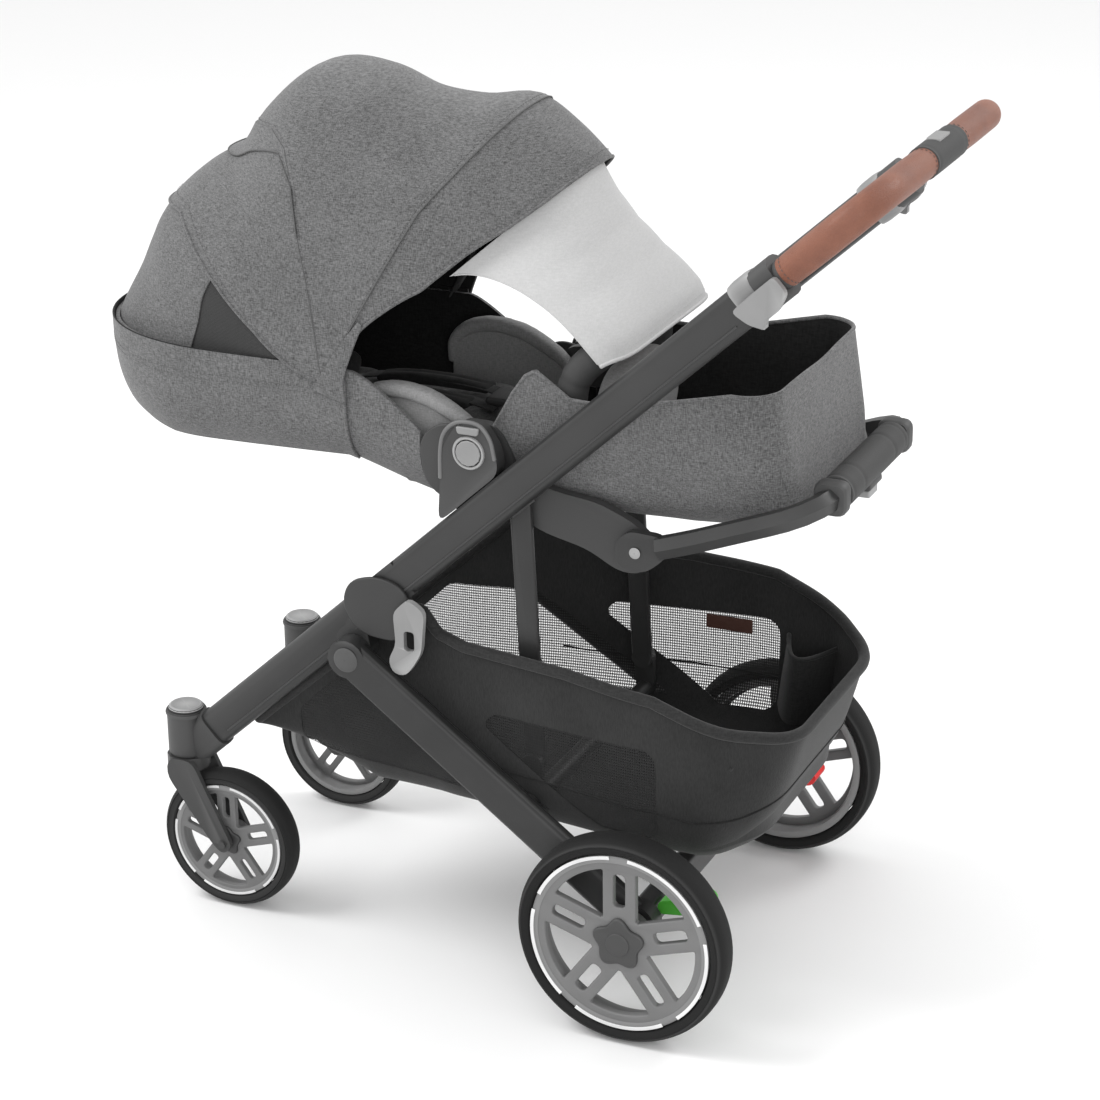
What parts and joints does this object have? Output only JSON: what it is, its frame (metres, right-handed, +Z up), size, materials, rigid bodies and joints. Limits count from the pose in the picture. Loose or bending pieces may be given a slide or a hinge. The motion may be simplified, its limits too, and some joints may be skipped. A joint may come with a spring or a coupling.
{
  "type": "baby stroller",
  "caption": "Folding baby stroller with a flat parent-facing seat, ribbed canopy, leg boot, swivel casters and under-seat basket.",
  "frame": {"origin": "centre of the bounding box on the floor under the wheels", "axes": "+Z up, +Y from the casters toward the push handle, +X to the side whose brake pedal is green"},
  "size_m": [0.5814, 1.0774, 1.0887],
  "materials": {
    "frame": "matte powder coat",
    "plastic": "fine matte",
    "foam": "matte foam",
    "rim": "satin",
    "tyre": "matte",
    "leather": "semi-matte grain",
    "trim": "satin",
    "melange": "two-tone woven melange",
    "padding": "soft melange",
    "shade": "smooth light cloth",
    "lining": "matte cloth",
    "brake_red": "gloss",
    "brake_green": "gloss"
  },
  "bodies": {
    "front_frame": {"front_leg_left": "frame", "front_leg_right": "frame", "caster_housing_left": "plastic", "caster_housing_right": "plastic", "front_cross_tube": "frame", "basket": "lining"},
    "rear_legs": {"rear_leg_left": "frame", "rear_leg_right": "frame", "rear_axle": "frame", "rear_cross_tube": "frame"},
    "upper_frame": {"upper_tube_left": "frame", "upper_tube_right": "frame", "handle_collar_left": "plastic", "handle_collar_right": "plastic", "seat_mount_left": "plastic", "seat_mount_right": "plastic", "seat_arm_left": "plastic", "seat_arm_right": "plastic", "seat_shell": "melange", "seat_liner": "padding"},
    "handle": {"handle_bar": "frame", "handle_leather_left": "leather", "handle_leather_right": "leather", "centre_grip": "plastic"},
    "backrest": {"seat_back_shell": "melange", "back_pad": "lining", "side_wing_left": "padding", "side_wing_right": "padding", "canopy_rear_panel": "melange"},
    "canopy_middle": {"canopy_middle_rib": "trim", "canopy_front_panel": "melange"},
    "canopy_front": {"canopy_front_rib": "trim"},
    "sunshade": {"sunshade": "shade"},
    "leg_rest": {"leg_rest_tube": "frame", "foot_bar_pad": "foam", "boot": "melange"},
    "leg_rest_button": {"leg_rest_button": "trim"},
    "bumper_bar": {"bumper_bar": "leather"},
    "telescope_button": {"telescope_button": "trim"},
    "storage_latch": {"storage_latch": "trim"},
    "caster_left": {"caster_fork_left": "plastic"},
    "front_wheel_left": {"front_tyre_left": "tyre", "front_rim_left": "rim"},
    "rear_wheel_left": {"rear_tyre_left": "tyre", "rear_rim_left": "rim"},
    "brake_pedal_left": {"brake_pedal_left": "brake_green"},
    "strut_slider_left": {"strut_slider_left": "plastic"},
    "strut_left": {"strut_left": "frame"},
    "fold_trigger_left": {"fold_trigger_left": "trim"},
    "hub_button_left": {"hub_button_left": "trim"},
    "caster_right": {"caster_fork_right": "plastic"},
    "front_wheel_right": {"front_tyre_right": "tyre", "front_rim_right": "rim"},
    "rear_wheel_right": {"rear_tyre_right": "tyre", "rear_rim_right": "rim"},
    "brake_pedal_right": {"brake_pedal_right": "brake_red"},
    "strut_slider_right": {"strut_slider_right": "plastic"},
    "strut_right": {"strut_right": "frame"},
    "fold_trigger_right": {"fold_trigger_right": "trim"},
    "hub_button_right": {"hub_button_right": "trim"}
  },
  "joints": [
    {"name": "frame_fold", "type": "hinge", "parent": "front_frame", "child": "upper_frame", "pos_m": [0, -0.1068, 0.47843], "axis": [1, 0, 0], "range_deg": [0, 45], "deforming": ["basket"]},
    {"name": "rear_leg_fold", "type": "hinge", "parent": "front_frame", "child": "rear_legs", "pos_m": [0, -0.1388, 0.402], "axis": [1, 0, 0], "range_deg": [-18, 0], "deforming": ["basket"]},
    {"name": "handle_telescope", "type": "slide", "parent": "upper_frame", "child": "handle", "axis": [0, 0.7397, 0.6729], "range_m": [0, 0.07]},
    {"name": "backrest_recline", "type": "hinge", "parent": "upper_frame", "child": "backrest", "pos_m": [0, 0.0232, 0.672], "axis": [1, 0, 0], "range_deg": [-50, 0], "deforming": ["sunshade"]},
    {"name": "canopy_middle_fold", "type": "hinge", "parent": "backrest", "child": "canopy_middle", "pos_m": [0, -0.1778, 0.74], "axis": [1, 0, 0], "range_deg": [0, 65], "deforming": ["canopy_rear_panel"]},
    {"name": "canopy_front_fold", "type": "hinge", "parent": "canopy_middle", "child": "canopy_front", "pos_m": [0, -0.1778, 0.74], "axis": [1, 0, 0], "range_deg": [0, 11.5], "deforming": ["canopy_front_panel"]},
    {"name": "sunshade_fold", "type": "hinge", "parent": "canopy_front", "child": "sunshade", "pos_m": [0, -0.1778, 0.74], "axis": [1, 0, 0], "range_deg": [0, 17]},
    {"name": "leg_rest_tilt", "type": "hinge", "parent": "upper_frame", "child": "leg_rest", "pos_m": [0, 0.2252, 0.584], "axis": [1, 0, 0], "range_deg": [-60, 0]},
    {"name": "leg_rest_button_press", "type": "slide", "parent": "leg_rest", "child": "leg_rest_button", "axis": [0, 0, 1], "range_m": [0, 0.003], "stiffness_N_per_m": 400},
    {"name": "bumper_bar_swing", "type": "hinge", "parent": "upper_frame", "child": "bumper_bar", "pos_m": [-0.13, 0.1282, 0.75], "axis": [0, 0, 1], "range_deg": [0, 55]},
    {"name": "telescope_button_press", "type": "slide", "parent": "handle", "child": "telescope_button", "axis": [0, 0, -1], "range_m": [0, 0.0035], "stiffness_N_per_m": 400},
    {"name": "storage_latch_swing", "type": "hinge", "parent": "rear_legs", "child": "storage_latch", "pos_m": [0, -0.0688, 0.404], "axis": [1, 0, 0], "range_deg": [-35, 0]},
    {"name": "caster_swivel_left", "type": "hinge", "parent": "front_frame", "child": "caster_left", "pos_m": [0.1555, -0.4048, 0.204], "axis": [0, 0, 1], "continuous": true},
    {"name": "front_wheel_spin_left", "type": "hinge", "parent": "caster_left", "child": "front_wheel_left", "pos_m": [0.1555, -0.3458, 0.094], "axis": [1, 0, 0], "continuous": true},
    {"name": "rear_wheel_spin_left", "type": "hinge", "parent": "rear_legs", "child": "rear_wheel_left", "pos_m": [0.2687, 0.2522, 0.134], "axis": [1, 0, 0], "continuous": true},
    {"name": "brake_pedal_press_left", "type": "hinge", "parent": "rear_legs", "child": "brake_pedal_left", "pos_m": [0, 0.2782, 0.146], "axis": [1, 0, 0], "range_deg": [-12, 0]},
    {"name": "strut_slide_left", "type": "slide", "parent": "upper_frame", "child": "strut_slider_left", "axis": [0.0572, 0.7385, 0.6718], "range_m": [-0.202, 0]},
    {"name": "strut_swing_left", "type": "hinge", "parent": "strut_slider_left", "child": "strut_left", "pos_m": [0.1666, 0.0772, 0.628], "axis": [1, 0, 0], "range_deg": [-19, 0]},
    {"name": "fold_trigger_pull_left", "type": "slide", "parent": "upper_frame", "child": "fold_trigger_left", "axis": [0.0572, 0.7385, 0.6718], "range_m": [0, 0.008], "stiffness_N_per_m": 300},
    {"name": "hub_button_press_left", "type": "slide", "parent": "upper_frame", "child": "hub_button_left", "axis": [-1, 0, 0], "range_m": [0, 0.004], "stiffness_N_per_m": 400},
    {"name": "caster_swivel_right", "type": "hinge", "parent": "front_frame", "child": "caster_right", "pos_m": [-0.1555, -0.4048, 0.204], "axis": [0, 0, 1], "continuous": true},
    {"name": "front_wheel_spin_right", "type": "hinge", "parent": "caster_right", "child": "front_wheel_right", "pos_m": [-0.1555, -0.3458, 0.094], "axis": [1, 0, 0], "continuous": true},
    {"name": "rear_wheel_spin_right", "type": "hinge", "parent": "rear_legs", "child": "rear_wheel_right", "pos_m": [-0.2687, 0.2522, 0.134], "axis": [1, 0, 0], "continuous": true},
    {"name": "brake_pedal_press_right", "type": "hinge", "parent": "rear_legs", "child": "brake_pedal_right", "pos_m": [0, 0.2782, 0.146], "axis": [1, 0, 0], "range_deg": [-12, 0]},
    {"name": "strut_slide_right", "type": "slide", "parent": "upper_frame", "child": "strut_slider_right", "axis": [-0.0572, 0.7385, 0.6718], "range_m": [-0.202, 0]},
    {"name": "strut_swing_right", "type": "hinge", "parent": "strut_slider_right", "child": "strut_right", "pos_m": [-0.1666, 0.0772, 0.628], "axis": [1, 0, 0], "range_deg": [-19, 0]},
    {"name": "fold_trigger_pull_right", "type": "slide", "parent": "upper_frame", "child": "fold_trigger_right", "axis": [-0.0572, 0.7385, 0.6718], "range_m": [0, 0.008], "stiffness_N_per_m": 300},
    {"name": "hub_button_press_right", "type": "slide", "parent": "upper_frame", "child": "hub_button_right", "axis": [1, 0, 0], "range_m": [0, 0.004], "stiffness_N_per_m": 400}
  ],
  "couplings": [
    {"joint": "rear_leg_fold", "follows": "frame_fold", "ratio": -0.4},
    {"joint": "strut_slide_left", "follows": "frame_fold", "m_per_rad": -0.2558},
    {"joint": "strut_swing_left", "follows": "frame_fold", "ratio": -0.4185},
    {"joint": "strut_slide_right", "follows": "frame_fold", "m_per_rad": -0.2558},
    {"joint": "strut_swing_right", "follows": "frame_fold", "ratio": -0.4185}
  ]
}
